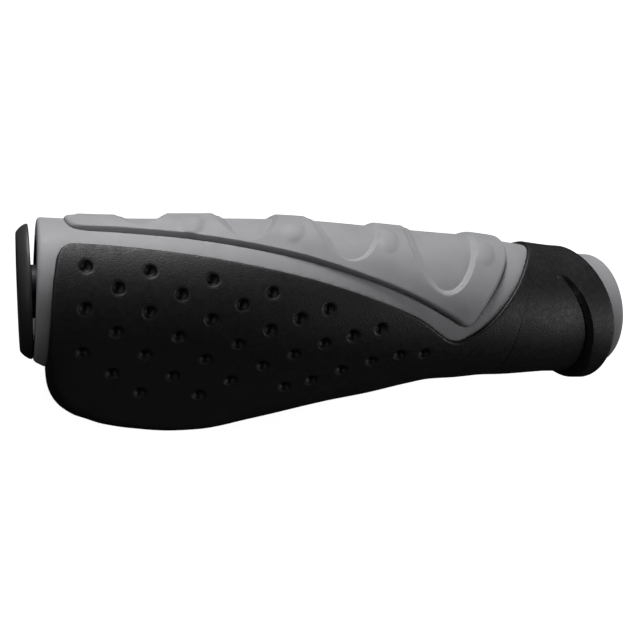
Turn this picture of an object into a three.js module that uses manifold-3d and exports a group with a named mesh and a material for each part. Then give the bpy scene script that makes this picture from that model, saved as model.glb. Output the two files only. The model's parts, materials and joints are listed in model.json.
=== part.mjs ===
// Bicycle handlebar grip with a palm wing: a stiff sleeve for a 22.2 mm bar, a grey rubber layer moulded
// around it, a raised grey finger panel, a black palm pad with its wing, a black inner collar, a cushion
// inside the wing, and the plug that closes the outer end.
//
// Millimetres. The bar's axis is X and the origin is on it, at the inner end face. +X is the way the bar
// leaves the bore, +Y is forward to the fingers, +Z is up. Most places are given by s, the distance along
// the bar from the outer end face, so x = s - LENGTH. Angles round the bar start forward and go up.

import * as THREE from 'three';
import { mergeVertices } from 'three/addons/utils/BufferGeometryUtils.js';
import Module from 'manifold-3d';

const wasm = await Module();
wasm.setup();

// Driving dimensions
const LENGTH = 130;
const BORE_RADIUS = 11.1;
const SLEEVE_WALL = 1.7;
const LIP = 2;
const GAP = 0.3;
const POCKET_DEPTH = 0.7;
const PANEL_RISE = 1.5;
const VALLEY_DEPTH = 1.0;
const WING_REACH = 28.4;
const WING_TIP_RADIUS = 5.5;
const WING_DROP = 3;
const PAD_START = 2.2;
const PAD_SKIN = 2.8;
const FAR = 30;
const COLLAR_REACH = 20;

const SLEEVE_RADIUS = BORE_RADIUS + SLEEVE_WALL;
const SEGMENTS = 36;

// ---------------------------------------------------------------- curves along the bar

// A smooth curve through [s, value] points that never overshoots between them.
function curveThrough(points) {
  const slopes = points.map((point, i) => {
    if (i === 0 || i === points.length - 1) return 0;
    const before = (point[1] - points[i - 1][1]) / (point[0] - points[i - 1][0]);
    const after = (points[i + 1][1] - point[1]) / (points[i + 1][0] - point[0]);
    return before * after > 0 ? (2 * before * after) / (before + after) : 0;
  });
  return (s) => {
    if (s <= points[0][0]) return points[0][1];
    const last = points.length - 1;
    if (s >= points[last][0]) return points[last][1];
    const i = points.findIndex((point, k) => s < points[k + 1][0]);
    const width = points[i + 1][0] - points[i][0];
    const t = (s - points[i][0]) / width;
    const start = points[i][1] * (1 + 2 * t) * (1 - t) ** 2 + slopes[i] * width * t * (1 - t) ** 2;
    const end = points[i + 1][1] * t * t * (3 - 2 * t) - slopes[i + 1] * width * t * t * (1 - t);
    return start + end;
  };
}

// Outer radius of the grey layer, and of the black skin (palm pad and collar) above it.
const layerCurve = curveThrough([[0, 14.6], [10, 14.7], [52, 16.7], [84, 15.8], [101, 15], [120, 13.6], [130, 13.3]]);
const skinRadius = curveThrough([[0, 15.5], [10, 15.6], [52, 17.6], [84, 16.7], [99, 16], [118, 15]]);

// How far the wing's edge reaches back from the bar axis, before its outer corner is rounded off.
const wingPlan = curveThrough([[2, 24.6], [12, 26.3], [28, WING_REACH], [43, 26.6], [62, 22.5], [86, 18], [99, 16]]);

const END_ROUNDING = 0.9;
const WING_CORNER = 9;
const FLANGE_RISE = 1.5;
const END_SLANT = 0.105;
const WING_FULL = 12;
const WING_BLEND = 0.6;

const smoothstep = (value, from, to) => THREE.MathUtils.smoothstep(value, from, to);

// Quarter-circle ease: 0 at t = 0 with an upright start, 1 from t = 1.
function quarterRound(t) {
  const u = THREE.MathUtils.clamp(t, 0, 1);
  return Math.sqrt(1 - (1 - u) ** 2);
}

function layerRadius(s) {
  const toEnd = Math.min(s, LENGTH - s);
  return layerCurve(s) - END_ROUNDING * (1 - quarterRound(toEnd / END_ROUNDING));
}

const pocketRadius = (s) => layerCurve(s) - POCKET_DEPTH * (1 - smoothstep(s, 112, 120));

// The wing's section at s: the barrel circle of radius barrel, joined by straight tangents to a tip circle.
function wingSection(s) {
  const barrel = skinRadius(s);
  const reach = Math.max(wingPlan(s) - barrel, 0) * quarterRound((s - PAD_START) / WING_CORNER);
  const fullness = reach / WING_FULL;
  const tip = barrel + (WING_TIP_RADIUS - barrel) * fullness ** WING_BLEND;
  return { barrel, tip, y: tip - barrel - reach, z: -WING_DROP * fullness };
}

// Distance from the bar axis to the wing section's outline, pulled in by inset, in the direction of angle.
function wingRadius(s, angle, inset = 0) {
  const section = wingSection(s);
  const barrel = section.barrel - inset;
  const tip = section.tip - inset;
  const reach = Math.hypot(section.y, section.z);
  if (reach < 0.01) return barrel;
  const toTip = Math.atan2(section.z, section.y);
  const away = Math.abs(Math.atan2(Math.sin(angle - toTip), Math.cos(angle - toTip)));
  const tangent = Math.acos((barrel - tip) / reach);
  if (away >= tangent) return barrel;
  const tipStart = Math.atan2(tip * Math.sin(tangent), reach + tip * Math.cos(tangent));
  if (away >= tipStart) return barrel / Math.cos(tangent - away);
  return reach * Math.cos(away) + Math.sqrt(tip ** 2 - (reach * Math.sin(away)) ** 2);
}

// Outer radius of the collar: the flange at its inner end stands out to the rear and dies away forward.
function collarRadius(s, angle) {
  const rearward = (1 - Math.cos(angle)) / 2;
  return skinRadius(s) + FLANGE_RISE * rearward * smoothstep(s, 118.5, 125);
}

// ---------------------------------------------------------------- solids

function solid(geometry) {
  geometry.deleteAttribute('normal');
  geometry.deleteAttribute('uv');
  const merged = mergeVertices(geometry, 1e-4);
  const mesh = { numProp: 3, vertProperties: merged.attributes.position.array, triVerts: merged.index.array };
  return new wasm.Manifold(new wasm.Mesh(mesh));
}

function evenly(from, to, count) {
  return Array.from({ length: count + 1 }, (_, i) => from + ((to - from) * i) / count);
}

// A body round the bar axis whose radius is radiusAt(s, angle), with one ring of points at each station.
// crowd draws the points round the section together at the rear, and slant(s) leans a ring back with y.
function barrel(radiusAt, stations, { crowd = 0, slant = () => 0 } = {}) {
  const geometry = new THREE.CylinderGeometry(1, 1, 1, SEGMENTS, stations.length - 1);
  const position = geometry.attributes.position;
  for (let i = 0; i < position.count; i++) {
    const row = Math.round((0.5 + position.getY(i)) * (stations.length - 1));
    const s = stations[row];
    const onAxis = Math.hypot(position.getX(i), position.getZ(i)) < 0.5;
    const turn = Math.atan2(position.getX(i), position.getZ(i));
    const angle = turn + crowd * Math.sin(turn);
    const radius = onAxis ? 0 : radiusAt(s, angle);
    const y = radius * Math.cos(angle);
    position.setXYZ(i, s - LENGTH - slant(s) * y, y, radius * Math.sin(angle));
  }
  return solid(geometry);
}

const pipe = (radius, from, to) => barrel(() => radius, [from, to]);

// An upright block over a plan outline of Vector2 points (s, y), from height low to height high.
function block(outline, low = -FAR, high = FAR) {
  const geometry = new THREE.ExtrudeGeometry(new THREE.Shape(outline), { depth: high - low, bevelEnabled: false });
  geometry.translate(-LENGTH, 0, low);
  return solid(geometry);
}

// Moves every side of an anticlockwise outline outwards by distance.
function grow(outline, distance) {
  return outline.map((point, i) => {
    const before = outline[(i + outline.length - 1) % outline.length];
    const after = outline[(i + 1) % outline.length];
    const into = point.clone().sub(before).normalize();
    const out = after.clone().sub(point).normalize();
    const bisector = new THREE.Vector2(into.y + out.y, -into.x - out.x).normalize();
    const reach = distance / Math.max(bisector.dot(new THREE.Vector2(into.y, -into.x)), 0.5);
    return point.clone().addScaledVector(bisector, reach);
  });
}

const vectors = (pairs) => pairs.map(([s, y]) => new THREE.Vector2(s, y));

// Points of the smooth plan curve through the given ones.
const spline = (pairs, count) => new THREE.SplineCurve(vectors(pairs)).getPoints(count);

// ---------------------------------------------------------------- plan outlines, in (s, y)

// Upper edge of the palm pad, from its outer corner along the grip, round the point of the V and forward.
const PAD_EDGE = [
  [2.2, -9], [3, 2], [4.2, 7.3], [7.2, 9.1], [18, 8.9], [30, 7.5], [45, 4.8], [58, 2.1], [70, -1.6],
  [80, -5.9], [84.8, -7.9], [87, -8.3], [89, -7.7], [94, -3.8], [99, 2], [104.4, 9.1], [109.4, 16],
];

// Line where the palm pad's band meets the collar, from the front to the rear.
const SEAM = [[113.2, 16], [108.4, 10], [103.2, 3.7], [101, -4], [100.2, -16]];

// Edge of the finger panel, from its outer end along the grip, round its point and forward.
const PANEL_START = 5;
const PANEL_EDGE = [
  [PANEL_START, 16], [5.4, 13.7], [7.6, 12.5], [16, 12.3], [27, 12], [38, 10.9], [50, 8.7], [62, 5.2], [74, 1],
  [84, -3.7], [86.8, -4.8], [89.2, -4.1], [92, -0.6], [97, 8], [100.4, 16],
];

// Inner edge of the collar: it leans back to the rear and bows towards the inner end.
const rimAt = (y) => 124.6 - 0.35 * y - 0.006 * y * y;

function padOutline() {
  const edge = spline(PAD_EDGE, 38);
  const seam = spline(SEAM, 10);
  return [
    ...vectors([[PAD_START, -FAR]]),
    ...vectors([[100.2, -FAR]]),
    ...seam.reverse(),
    ...vectors([[113.2, FAR], [109.4, FAR]]),
    ...edge.reverse(),
  ];
}

function collarOutline() {
  const seam = spline(SEAM, 10);
  const rim = evenly(-COLLAR_REACH, COLLAR_REACH, 10).map((y) => new THREE.Vector2(rimAt(y), y));
  return [
    ...rim,
    ...seam,
    ...vectors([[100.2, -COLLAR_REACH]]),
  ];
}

function panelOutline() {
  const edge = spline(PANEL_EDGE, 34);
  return [...edge, ...vectors([[100.4, FAR], [PANEL_START, FAR]])];
}

// ---------------------------------------------------------------- pieces

const bedStations = evenly(0, LENGTH, 10);
const bed = (clearance) => barrel((s) => pocketRadius(s) + clearance, bedStations);
const wingStations = [0, PAD_START, 2.5, 3.2, 4.3, 6, 8.5, ...evenly(12, 112, 13)];
const padSurface = (inset) => barrel((s, angle) => wingRadius(s, angle, inset), wingStations, { crowd: 0.5 });

// The plastic plate that carries the wing, 6 mm inside the wing's edge, with holes that key the rubber.
const PLATE_TOP = -0.8;
const PLATE_THICKNESS = 2;
const PLATE_INSET = 6;
const PLATE_FROM = 9;
const PLATE_TO = 68;
const KEY_HOLES = [20, 34, 48];
const KEY_RADIUS = 2.6;

function plateOutline() {
  const edge = evenly(PLATE_FROM, PLATE_TO, 12).map((s) => new THREE.Vector2(s, PLATE_INSET - wingPlan(s)));
  return [...edge, ...vectors([[PLATE_TO, -BORE_RADIUS - 0.6], [PLATE_FROM, -BORE_RADIUS - 0.6]])];
}

function keyHoles(radius) {
  const posts = KEY_HOLES.map((s) => {
    const hole = new THREE.CylinderGeometry(radius, radius, 4 * PLATE_THICKNESS, 16);
    hole.rotateX(Math.PI / 2);
    hole.translate(s - LENGTH, 4 + PLATE_INSET - wingPlan(s), PLATE_TOP);
    return solid(hole);
  });
  return posts.reduce((all, post) => all.add(post));
}

function plate(clearance) {
  const sheet = block(grow(plateOutline(), clearance), PLATE_TOP - PLATE_THICKNESS - clearance, PLATE_TOP + clearance);
  return sheet.subtract(keyHoles(KEY_RADIUS - clearance));
}

function coreSleeve() {
  const tube = pipe(SLEEVE_RADIUS, LIP, LENGTH - LIP);
  return tube.add(plate(0)).subtract(pipe(BORE_RADIUS, -1, LENGTH + 1));
}

// The cushion lies on the wing's plate, under the palm pad's skin.
const CUSHION_FROM = 12;
const CUSHION_TO = 64;

function cushion(clearance) {
  const dome = barrel(
    (s, angle) => wingRadius(s, angle, PAD_SKIN - clearance),
    evenly(CUSHION_FROM - clearance, CUSHION_TO + clearance, 16),
    { crowd: 0.5 },
  );
  const barrelWall = bed(PAD_SKIN - clearance);
  const floor = PLATE_TOP + GAP - 2 * clearance;
  const above = block(vectors([[0, -FAR], [LENGTH, -FAR], [LENGTH, 0], [0, 0]]), floor, FAR);
  return dome.intersect(above).subtract(barrelWall);
}

const END_STATIONS = [0, 0.25, END_ROUNDING];
const layerStations = [
  ...END_STATIONS,
  ...evenly(6, 122, 13),
  ...END_STATIONS.map((s) => LENGTH - s).reverse(),
];
const endSlant = (s) => END_SLANT * smoothstep(s, 118, LENGTH - END_ROUNDING);

function baseLayer() {
  const skins = block(grow(padOutline(), GAP))
    .add(block(grow(collarOutline(), GAP)))
    .add(block(grow(panelOutline(), GAP)));
  const sleeveRoom = pipe(SLEEVE_RADIUS + GAP, LIP - GAP, LENGTH - LIP + GAP);
  return barrel(layerRadius, layerStations, { slant: endSlant })
    .subtract(skins)
    .add(bed(0).subtract(pipe(FAR, -1, 1)).subtract(pipe(FAR, 121, LENGTH + 1)))
    .subtract(sleeveRoom)
    .subtract(plate(GAP))
    .subtract(pipe(BORE_RADIUS, -1, LENGTH + 3));
}

// Shallow dents in staggered rows over the palm pad. Rows bend back towards the inner end.
const DENT_PITCH = 11.8;
const DENT_ROWS = [
  { y: 5, bend: 0.003, first: 0, count: 6 },
  { y: 1.2, bend: 0.0029, first: 0.5, count: 5 },
  { y: -2.9, bend: 0.0026, first: 0, count: 5 },
  { y: -7.1, bend: 0.0023, first: 0.5, count: 4 },
  { y: -11.3, bend: 0.0018, first: 0, count: 4 },
  { y: -15.4, bend: 0.0016, first: 0.5, count: 4 },
  { y: -19.4, bend: 0.001, first: 1, count: 2 },
];
const DENT_ORIGIN = 8.6;
const DENT_TAIL = [[55.4, -16.7], [61.4, -14.4], [67.5, -12.4], [73.5, -11], [79.2, -10.7]];
const DENT_RADIUS = 1.65;
const DENT_DEPTH = 0.75;

function dentPlaces() {
  const rows = DENT_ROWS.flatMap((row) =>
    Array.from({ length: row.count }, (_, i) => {
      const s = DENT_ORIGIN + DENT_PITCH * (row.first + i);
      return [s, row.y - row.bend * (s - DENT_ORIGIN) ** 2];
    }),
  );
  return [...rows, ...DENT_TAIL];
}

// The point of the pad's upper surface over (s, y), found by turning the angle until y fits.
function padPoint(s, y) {
  let low = 0;
  let high = Math.PI;
  for (let i = 0; i < 30; i++) {
    const middle = (low + high) / 2;
    if (wingRadius(s, middle) * Math.cos(middle) > y) low = middle;
    else high = middle;
  }
  const radius = wingRadius(s, low);
  return new THREE.Vector3(s - LENGTH, radius * Math.cos(low), radius * Math.sin(low));
}

function padNormal(s, y) {
  const step = 0.2;
  const along = padPoint(s + step, y).sub(padPoint(s - step, y));
  const across = padPoint(s, y + step).sub(padPoint(s, y - step));
  return along.cross(across).normalize();
}

function dents() {
  const ball = (DENT_RADIUS ** 2 + DENT_DEPTH ** 2) / (2 * DENT_DEPTH);
  const balls = dentPlaces().map(([s, y]) => {
    const centre = padPoint(s, y).addScaledVector(padNormal(s, y), ball - DENT_DEPTH);
    const geometry = new THREE.IcosahedronGeometry(ball, 1);
    geometry.translate(centre.x, centre.y, centre.z);
    return solid(geometry);
  });
  return balls.reduce((all, one) => all.add(one));
}

function palmPad() {
  return padSurface(0)
    .intersect(block(padOutline()))
    .subtract(bed(GAP))
    .subtract(plate(GAP))
    .subtract(cushion(GAP))
    .subtract(dents());
}

// The groove behind the collar's flange, from its front end over the top to the rear, and its half width.
const GROOVE = [[111.2, 7.7], [112.8, 7.1], [115, 4.7], [117.8, -0.6], [120, -7], [121.3, -14], [121.6, -20]];
const GROOVE_HALF = 0.6;
const GROOVE_DEPTH = 0.8;

function groove() {
  const line = spline(GROOVE, 24);
  const sides = line.map((point, i) => {
    const before = line[Math.max(i - 1, 0)];
    const after = line[Math.min(i + 1, line.length - 1)];
    const along = after.clone().sub(before).normalize();
    const half = GROOVE_HALF * quarterRound((i + 0.5) / 6);
    return new THREE.Vector2(-along.y * half, along.x * half);
  });
  const left = line.map((point, i) => point.clone().add(sides[i]));
  const right = line.map((point, i) => point.clone().sub(sides[i]));
  return block([...right, ...left.reverse()]);
}

function innerCollar() {
  const collarStations = evenly(97, 133, 9);
  const outside = barrel(collarRadius, collarStations);
  const grooveBed = barrel((s, angle) => collarRadius(s, angle) - GROOVE_DEPTH, collarStations);
  return outside
    .subtract(groove())
    .add(grooveBed)
    .intersect(block(grow(collarOutline(), -GAP)))
    .subtract(bed(GAP))
    .subtract(pipe(layerCurve(LENGTH) + GAP, 120, LENGTH + 5));
}

// Finger panel: raised all over, with valleys that open forward and end in a round bottom.
const VALLEY_FRONT = 17;
const VALLEY_LEAN = -0.12;
const VALLEYS = [
  { s: 18.8, half: 3.8, bottom: 14.3 },
  { s: 40.7, half: 5.8, bottom: 11.9 },
  { s: 61.9, half: 6.9, bottom: 8.1 },
  { s: 83.2, half: 7.9, bottom: 2.4 },
];

function valleys() {
  const blocks = VALLEYS.map(({ s, half, bottom }) => {
    const curve = new THREE.EllipseCurve(s, VALLEY_FRONT, half, VALLEY_FRONT - bottom, 0, 2 * Math.PI, false, VALLEY_LEAN);
    return block(curve.getPoints(22).slice(1));
  });
  return blocks.reduce((all, one) => all.add(one));
}

// Long low nubs on the crests between the valleys, laid round the barrel.
const NUBS = [
  { s: 29.5, angle: 30 },
  { s: 49.9, angle: 32 },
  { s: 71, angle: 45 },
  { s: 94, angle: 46 },
];
const NUB_LENGTH = 8.4;
const NUB_WIDTH = 4;
const NUB_HEIGHT = 0.6;
const NUB_LEAN = THREE.MathUtils.degToRad(-18);

const panelRadius = (s) => layerCurve(s) + PANEL_RISE * quarterRound((s - PANEL_START + 1) / 4);

function nubs() {
  const domes = NUBS.map(({ s, angle }) => {
    const dome = new THREE.SphereGeometry(1, 12, 6);
    dome.scale(NUB_WIDTH / 2, NUB_LENGTH / 2, NUB_HEIGHT * 1.6);
    dome.rotateZ(NUB_LEAN);
    dome.translate(0, 0, panelRadius(s) - NUB_HEIGHT * 0.6);
    dome.rotateX(THREE.MathUtils.degToRad(angle - 90));
    dome.translate(s - LENGTH, 0, 0);
    return solid(dome);
  });
  return domes.reduce((all, one) => all.add(one));
}

function fingerPanel() {
  const panelStations = [3, 4.2, 5, 6, 8, ...evenly(15, 104, 9)];
  return barrel(panelRadius, panelStations)
    .add(nubs())
    .subtract(valleys())
    .add(barrel((s) => panelRadius(s) - VALLEY_DEPTH, panelStations))
    .intersect(block(panelOutline()))
    .subtract(bed(GAP));
}

// End plug: a round flange with a domed edge, on a stem with flexible fins sized for the inside of the
// bar. It sits a little askew in the wider bore of the empty grip.
const FLANGE_RADIUS = 13.3;
const FLANGE_THICKNESS = 2.4;
const FLANGE_DOME = 1.7;
const FLANGE_CHAMFER = 0.4;
const STEM_RADIUS = 5.3;
const STEM_LENGTH = 20;
const FIN_RADIUS = 9;
const FIN_THICKNESS = 1;
const FIN_DEPTHS = [7, 11, 15];
const PLUG_TILT = THREE.MathUtils.degToRad(3.4);
const PLUG_PIVOT = 10;
const PLUG_STAND_OFF = GAP + 0.05 + FLANGE_RADIUS * Math.sin(PLUG_TILT);

// Profile of the plug as radius and depth into the grip, from the flange's inner face at depth 0.
function plugProfile() {
  const dome = evenly(0, Math.PI / 2, 4).map((turn) => [
    FLANGE_RADIUS - FLANGE_DOME * (1 - Math.sin(turn)),
    FLANGE_DOME * (1 - Math.cos(turn)) - FLANGE_THICKNESS,
  ]);
  const fins = FIN_DEPTHS.flatMap((depth) => [
    [STEM_RADIUS, depth],
    [FIN_RADIUS, depth - FIN_THICKNESS],
    [FIN_RADIUS, depth],
    [STEM_RADIUS, depth + FIN_THICKNESS],
  ]);
  return vectors([
    [0, -FLANGE_THICKNESS],
    ...dome,
    [FLANGE_RADIUS, -FLANGE_CHAMFER],
    [FLANGE_RADIUS - FLANGE_CHAMFER, 0],
    [STEM_RADIUS, 0],
    ...fins,
    [STEM_RADIUS, STEM_LENGTH - 1],
    [STEM_RADIUS - 1, STEM_LENGTH],
    [0, STEM_LENGTH],
  ]);
}

function endPlug() {
  const turned = new THREE.LatheGeometry(plugProfile(), 28);
  turned.rotateZ(-Math.PI / 2);
  return solid(turned);
}

// ---------------------------------------------------------------- the grip

const greyRubber = { color: 0x9c9ca0, roughness: 0.75, metalness: 0 };
const blackRubber = { color: 0x242426, roughness: 0.6, metalness: 0 };
const stiffPlastic = { color: 0xd8d6cf, roughness: 0.5, metalness: 0 };
const softGel = { color: 0x6b7f8c, roughness: 0.4, metalness: 0 };
const plugPlastic = { color: 0x2b2b2d, roughness: 0.5, metalness: 0 };

function piece(name, body, look) {
  const { vertProperties, triVerts } = body.getMesh();
  const geometry = new THREE.BufferGeometry();
  geometry.setAttribute('position', new THREE.BufferAttribute(vertProperties, 3));
  geometry.setIndex(new THREE.BufferAttribute(triVerts, 1));
  geometry.computeVertexNormals();
  const mesh = new THREE.Mesh(geometry, new THREE.MeshStandardMaterial(look));
  mesh.name = name;
  return mesh;
}

const grip = new THREE.Group();
grip.add(piece('core_sleeve', coreSleeve(), stiffPlastic));
grip.add(piece('base_layer', baseLayer(), greyRubber));
grip.add(piece('palm_pad', palmPad(), blackRubber));
grip.add(piece('palm_cushion', cushion(0), softGel));
grip.add(piece('inner_collar', innerCollar(), blackRubber));
grip.add(piece('finger_panel', fingerPanel(), greyRubber));

const plug = piece('end_plug', endPlug(), plugPlastic);
plug.position.x = -PLUG_PIVOT - PLUG_STAND_OFF;
const plugPivot = new THREE.Group();
plugPivot.position.x = PLUG_PIVOT - LENGTH;
plugPivot.rotation.z = PLUG_TILT;
plugPivot.add(plug);
grip.add(plugPivot);

export default grip;
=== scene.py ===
"""The looks of the handlebar grip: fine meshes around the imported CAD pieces, their materials and the studio.

Shapes are worked out in millimetres, as in the CAD source, and turned into metres when a mesh is made.
Most places are given by s, the distance along the bar from the outer end face, and by the angle round the
bar, which starts forward (+Y) and goes up (+Z).
"""

import json
import math

import bpy
import numpy as np
from mathutils import Matrix, Vector


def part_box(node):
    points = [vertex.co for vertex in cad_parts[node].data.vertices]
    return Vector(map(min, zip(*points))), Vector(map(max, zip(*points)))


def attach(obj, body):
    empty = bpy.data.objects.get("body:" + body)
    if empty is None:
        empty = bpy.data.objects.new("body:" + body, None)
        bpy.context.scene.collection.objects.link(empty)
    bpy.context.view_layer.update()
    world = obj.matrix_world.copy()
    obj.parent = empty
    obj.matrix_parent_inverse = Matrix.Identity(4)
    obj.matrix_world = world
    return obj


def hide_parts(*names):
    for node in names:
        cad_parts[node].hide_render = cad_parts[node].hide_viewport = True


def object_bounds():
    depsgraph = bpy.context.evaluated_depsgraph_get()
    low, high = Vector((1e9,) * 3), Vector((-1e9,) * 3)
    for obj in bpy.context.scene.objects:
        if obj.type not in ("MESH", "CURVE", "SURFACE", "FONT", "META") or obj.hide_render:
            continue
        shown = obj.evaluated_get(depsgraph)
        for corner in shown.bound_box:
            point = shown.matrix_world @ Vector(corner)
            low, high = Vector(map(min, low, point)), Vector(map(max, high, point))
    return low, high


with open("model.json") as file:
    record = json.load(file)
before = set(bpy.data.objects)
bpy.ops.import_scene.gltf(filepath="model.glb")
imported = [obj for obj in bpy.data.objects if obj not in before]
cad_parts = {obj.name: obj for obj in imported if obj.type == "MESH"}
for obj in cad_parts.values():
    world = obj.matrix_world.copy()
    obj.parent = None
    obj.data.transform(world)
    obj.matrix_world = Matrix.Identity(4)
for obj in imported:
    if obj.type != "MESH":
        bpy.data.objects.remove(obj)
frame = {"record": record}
cad_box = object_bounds()

MM = 0.001

# Driving dimensions in millimetres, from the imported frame
LENGTH = -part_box("base_layer")[0].x / MM
SLEEVE_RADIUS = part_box("core_sleeve")[1].z / MM
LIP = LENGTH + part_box("core_sleeve")[0].x / MM
BORE_RADIUS = next(m["dims"]["r_mm"] for m in frame["record"]["mounts"] if m["name"] == "bar_bore")
CUSHION_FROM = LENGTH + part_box("palm_cushion")[0].x / MM
CUSHION_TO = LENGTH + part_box("palm_cushion")[1].x / MM
CUSHION_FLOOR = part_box("palm_cushion")[0].z / MM

# Moulded sizes, in millimetres unless they say otherwise
POCKET_DEPTH = 0.7
POCKET_FADE = (112, 120)  # stretch over which the pocket runs out towards the inner end
OUTER_ROUNDING = 0.7
INNER_ROUNDING = 1.1
REAR_TAPER = 1.0  # how much lower the grey layer is at the rear of its outer end
END_SLANT = 0.12  # lean of the inner end, as millimetres along the bar for each millimetre forward
SLANT_FROM = 118
WING_TIP_RADIUS = 5.5
WING_DROP = 3  # how far the wing's edge hangs below the axis where it is full
WING_CORNER = 6.4  # length over which the wing rounds off at the outer end
WING_FULL = 12  # reach past the barrel at which the wing's tip has its full shape
WING_BLEND = 0.6
PAD_START = 2.45
PAD_SKIN = 2.8
PAD_LIP = 0.45
COLLAR_LIP = 0.6
REAR_SWELL = 0.2
REAR_SWELL_OVER = (99, 106)
FLANGE_RISE = 1.65
SKIN_EDGE = 0.65  # height above the grey layer at which the black skins' outlines are laid out
SEAM_GAP = 0.08
PART_GAP = 0.15  # between the plate or the cushion and the rubber round it

# Sizes of the construction
FINE_STEP = 0.46  # grid step of the sheets that carry fine detail
FAR = 30  # past every part of the grip
COLLAR_REACH = 20  # past the collar to each side, in plan
CREASE = math.radians(35)  # edges sharper than this are shaded as edges
TINY = 1e-6  # keeps divisions finite


# ---------------------------------------------------------------- curves along the bar


def clamp(value):
    return np.clip(value, 0.0, 1.0)


def quarter_round(t):
    """Quarter-circle ease: 0 at t = 0 with an upright start, 1 from t = 1."""
    return np.sqrt(1 - (1 - clamp(t)) ** 2)


def smoothstep(value, start, end):
    """0 up to start, 1 from end, and a smooth S between them."""
    t = clamp((value - start) / (end - start))
    return t * t * (3 - 2 * t)


def curve_through(points):
    """A smooth curve through (s, value) points that never overshoots between them."""
    at, value = np.array(points, float).T
    rate = np.diff(value) / np.diff(at)
    slope = np.zeros(len(at))
    same_way = rate[:-1] * rate[1:] > 0
    total = np.where(same_way, rate[:-1] + rate[1:], 1.0)
    slope[1:-1] = np.where(same_way, 2 * rate[:-1] * rate[1:] / total, 0.0)

    def curve(s):
        s = np.clip(s, at[0], at[-1])
        i = np.clip(np.searchsorted(at, s, side="right") - 1, 0, len(at) - 2)
        width = at[i + 1] - at[i]
        t = (s - at[i]) / width
        start = value[i] * (1 + 2 * t) * (1 - t) ** 2 + slope[i] * width * t * (1 - t) ** 2
        end = value[i + 1] * t * t * (3 - 2 * t) - slope[i + 1] * width * t * t * (1 - t)
        return start + end

    return curve


# Outer radius of the grey layer and of the black skin above it, and how far back the wing's edge reaches.
layer_curve = curve_through([
    (0, 14.7), (10, 14.8), (52, 16.7), (84, 15.8), (101, 15.4), (120, 13.6), (130, 13.3),
])
skin_radius = curve_through([
    (0, 15.6), (10, 15.65), (52, 17.6), (84, 16.7), (98, 16.2), (108, 15.6), (118, 15),
])
wing_plan = curve_through([
    (2, 24), (6, 24.2), (9.5, 25.2), (14, 26.75), (20, 27.8), (28, 28.45), (34, 28.2), (45, 26), (62, 22.1),
    (71, 20.4), (80, 18.3), (86, 17.15), (92, 16.8), (102, 16),
])


def layer_radius(s):
    """Radius of the grey layer with its two ends rounded off."""
    outer_corner = OUTER_ROUNDING * (1 - quarter_round(s / OUTER_ROUNDING))
    inner_corner = INNER_ROUNDING * (1 - quarter_round((LENGTH - s) / INNER_ROUNDING))
    return layer_curve(s) - outer_corner - inner_corner


def pocket_radius(s):
    """Radius of the pockets' floor."""
    return layer_curve(s) - POCKET_DEPTH * (1 - smoothstep(s, *POCKET_FADE))


def wing_radius(s, angle, inset=0.0):
    """Distance from the axis to the wing's outline: a barrel circle joined by tangents to a tip circle."""
    barrel = skin_radius(s)
    length = np.maximum(wing_plan(s) - barrel, 0) * quarter_round((s - PAD_START) / WING_CORNER)
    fullness = length / WING_FULL
    tip = barrel + (WING_TIP_RADIUS - barrel) * fullness**WING_BLEND
    y = tip - barrel - length
    z = -WING_DROP * fullness
    barrel = barrel - inset
    tip = tip - inset
    reach = np.maximum(np.hypot(y, z), TINY)
    turn = angle - np.arctan2(z, y)
    away = np.abs(np.arctan2(np.sin(turn), np.cos(turn)))
    tangent = np.arccos(np.clip((barrel - tip) / reach, -1, 1))
    tip_start = np.arctan2(tip * np.sin(tangent), reach + tip * np.cos(tangent))
    straight = barrel / np.cos(np.clip(tangent - away, 0, 1.5))
    rounded = reach * np.cos(away) + np.sqrt(np.maximum(tip**2 - (reach * np.sin(away)) ** 2, 0))
    section = np.where(away >= tip_start, straight, rounded)
    return np.where((away >= tangent) | (reach < 0.01), barrel, section)


def end_slant(s):
    """How far the grip leans along the bar for each millimetre forward, growing towards its inner end."""
    return END_SLANT * smoothstep(s, SLANT_FROM, LENGTH - INNER_ROUNDING)


def rearward(angle):
    """0 at the front of the bar and 1 at its rear."""
    return (1 - np.cos(angle)) / 2


def polar(s, angle, radius, slant=0.0):
    """Points at a radius round the bar, in millimetres in the part's frame."""
    y = radius * np.cos(angle)
    return np.stack([s - LENGTH - slant * y, y, radius * np.sin(angle)], 1)


# ---------------------------------------------------------------- plan outlines, in (s, y)

PAD_EDGE = [
    (2.6, -9), (2.8, 0.5), (3.1, 4), (3.6, 7.2), (4.9, 8.8), (7.2, 9.35), (18, 9.05), (30, 8), (42, 6.25),
    (54, 3.85), (66, 0.5), (76, -3.1), (81.4, -6.2), (84.4, -7.8), (86.8, -8.1), (89, -7.3), (93.5, -3.8),
    (98.25, 2), (103.25, 9.2), (105.8, 12.3), (109.5, 16),
]
SEAM = [(113.2, 16), (108.4, 10), (103.2, 3.7), (101, -4), (100.2, -16)]
PANEL_START = 5
PANEL_EDGE = [
    (PANEL_START, 16), (5.3, 13.5), (7.6, 12.15), (16, 11.9), (27, 11.4), (38, 10.2), (50, 8.15), (62, 5),
    (74, 1.05), (84, -3.35), (87, -4.75), (89.2, -4.2), (91.8, -0.6), (97.8, 8), (100.3, 12.6), (101.4, 16),
]
GROOVE = [(111.6, 6.8), (113, 6.5), (115, 4.6), (117.8, -0.6), (120, -7), (121.3, -14), (121.6, -20)]


def rim_at(y):
    """Inner edge of the collar: it leans back to the rear and bows towards the inner end."""
    return 125 - 0.27 * y - 0.008 * y * y


SPLINE_STEPS = 10


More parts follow.
